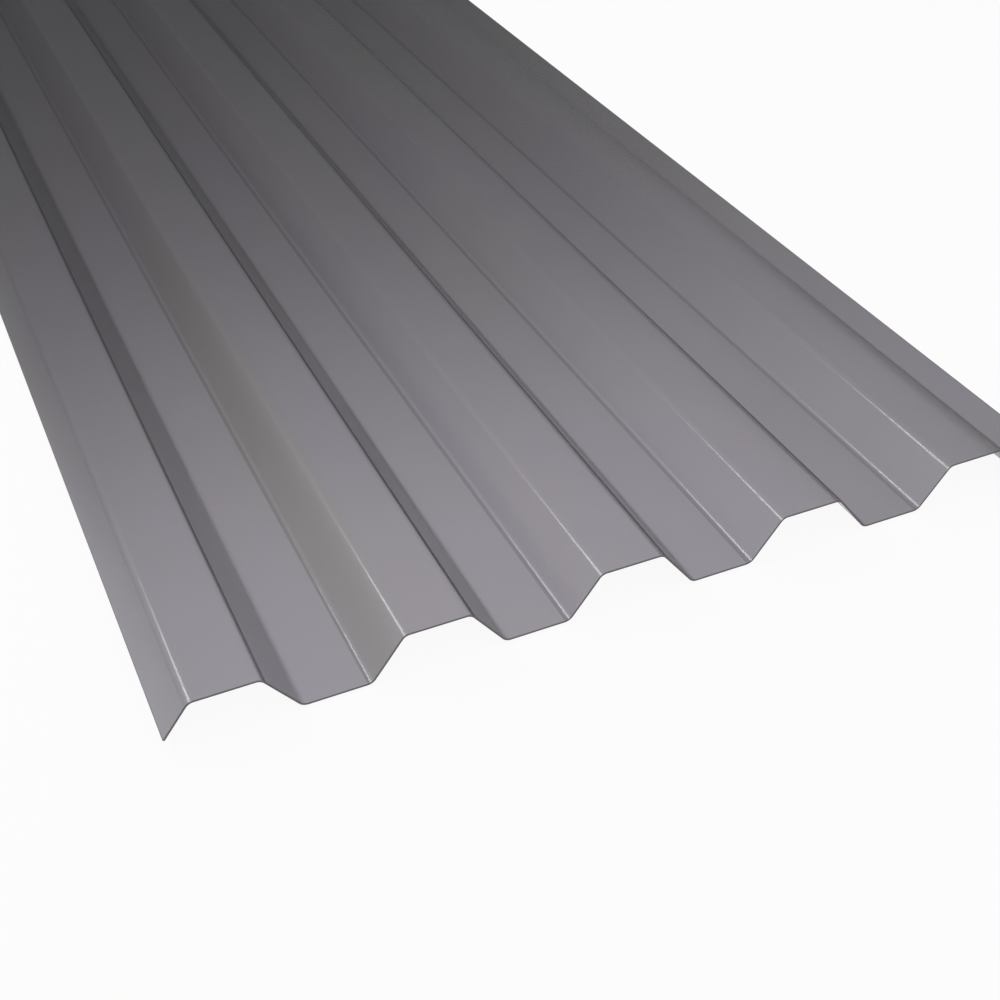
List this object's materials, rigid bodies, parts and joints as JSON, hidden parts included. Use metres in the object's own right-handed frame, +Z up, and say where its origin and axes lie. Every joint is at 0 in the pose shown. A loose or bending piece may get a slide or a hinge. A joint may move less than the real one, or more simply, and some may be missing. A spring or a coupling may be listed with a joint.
{
  "type": "trapezoidal polycarbonate sheet",
  "caption": "Long thin roofing sheet of translucent polycarbonate with flat-topped ribs, a lip on one side edge to lap over its neighbour and a flat edge to go under it.",
  "frame": {"origin": "middle of the sheet's length and width, on the plane that the undersides of its valleys rest on", "axes": "+X across the ribs, from the down-turned lap lip towards the flat edge; +Y along the ribs; +Z up"},
  "size_m": [0.3726, 2, 0.018],
  "materials": {
    "smoked_polycarbonate": "gloss"
  },
  "bodies": {
    "root": {"polycarbonate_sheet": "smoked_polycarbonate"}
  },
  "joints": []
}
